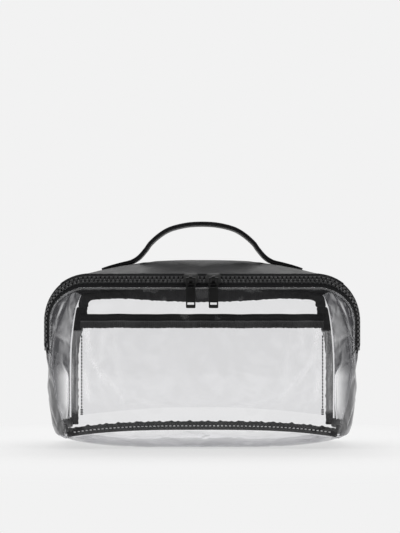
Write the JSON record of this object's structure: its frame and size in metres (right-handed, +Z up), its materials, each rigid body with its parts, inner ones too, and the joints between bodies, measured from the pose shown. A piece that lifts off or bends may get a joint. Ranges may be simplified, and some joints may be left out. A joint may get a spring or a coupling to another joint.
{
  "type": "makeup bag",
  "caption": "Clear vinyl makeup bag with a domed black top, a strap handle, a toothed zip with sliders and pull tabs, a front that folds open and a slip pocket at the back.",
  "frame": {"origin": "middle of the base, on the table the bag rests on", "axes": "+X to the right seen from the front, +Y from the front to the back, +Z up"},
  "size_m": [0.2818, 0.1172, 0.2043],
  "materials": {
    "clear_vinyl": "clear, glossy, slightly creased",
    "black_faux_leather": "fine grain, satin",
    "black_tape": "woven",
    "black_binding": "ribbed binding tape",
    "black_thread": "twisted thread",
    "black_moulded_teeth": "moulded, semi-gloss",
    "black_enamel": "gloss black enamel"
  },
  "bodies": {
    "shell": {"base_panel": "clear_vinyl", "back_panel": "clear_vinyl", "side_gusset_left": "clear_vinyl", "side_gusset_right": "clear_vinyl", "front_panel_lower": "clear_vinyl", "top_panel": "black_faux_leather", "zip_tape_rear": "black_tape", "zip_teeth_rear": "black_moulded_teeth", "zip_end_stops": "black_moulded_teeth", "handle_end_left": "black_faux_leather", "handle_end_right": "black_faux_leather", "front_bottom_binding": "black_binding", "side_bottom_binding_left": "black_binding", "side_bottom_binding_right": "black_binding", "back_side_binding_left": "black_binding", "back_side_binding_right": "black_binding", "back_top_binding": "black_binding", "pocket_panel": "clear_vinyl", "pocket_binding": "black_binding", "pocket_stitches": "black_thread", "front_bottom_stitches": "black_thread"},
    "front_flap": {"front_panel_upper": "clear_vinyl", "zip_tape_front": "black_tape", "zip_teeth_front": "black_moulded_teeth", "front_edge_stitches": "black_thread"},
    "slider_left": {"slider_body_left": "black_enamel", "slider_inner_plate_left": "black_enamel"},
    "slider_right": {"slider_body_right": "black_enamel", "slider_inner_plate_right": "black_enamel"},
    "pull_left": {"pull_tab_left": "black_enamel"},
    "pull_right": {"pull_tab_right": "black_enamel"},
    "handle": {"handle_loop_outer": "black_faux_leather", "handle_loop_inner": "black_faux_leather"}
  },
  "joints": [
    {"name": "flap_open", "type": "hinge", "parent": "shell", "child": "front_flap", "pos_m": [0, -0.05675, 0.08], "axis": [1, 0, 0], "range_deg": [0, 120]},
    {"name": "slider_left_slide", "type": "slide", "parent": "front_flap", "child": "slider_left", "axis": [-1, 0, 0], "range_m": [0, 0.084]},
    {"name": "slider_right_slide", "type": "slide", "parent": "front_flap", "child": "slider_right", "axis": [1, 0, 0], "range_m": [0, 0.084]},
    {"name": "pull_left_flip", "type": "hinge", "parent": "slider_left", "child": "pull_left", "pos_m": [-0.01, -0.05883, 0.15002], "axis": [-1, 0, 0], "range_deg": [0, 150]},
    {"name": "pull_right_flip", "type": "hinge", "parent": "slider_right", "child": "pull_right", "pos_m": [0.01, -0.05883, 0.15002], "axis": [-1, 0, 0], "range_deg": [0, 150]},
    {"name": "handle_flop", "type": "hinge", "parent": "shell", "child": "handle", "pos_m": [0, 0, 0.177], "axis": [1, 0, 0], "range_deg": [-60, 60], "stiffness_Nm_per_rad": 0.01}
  ]
}
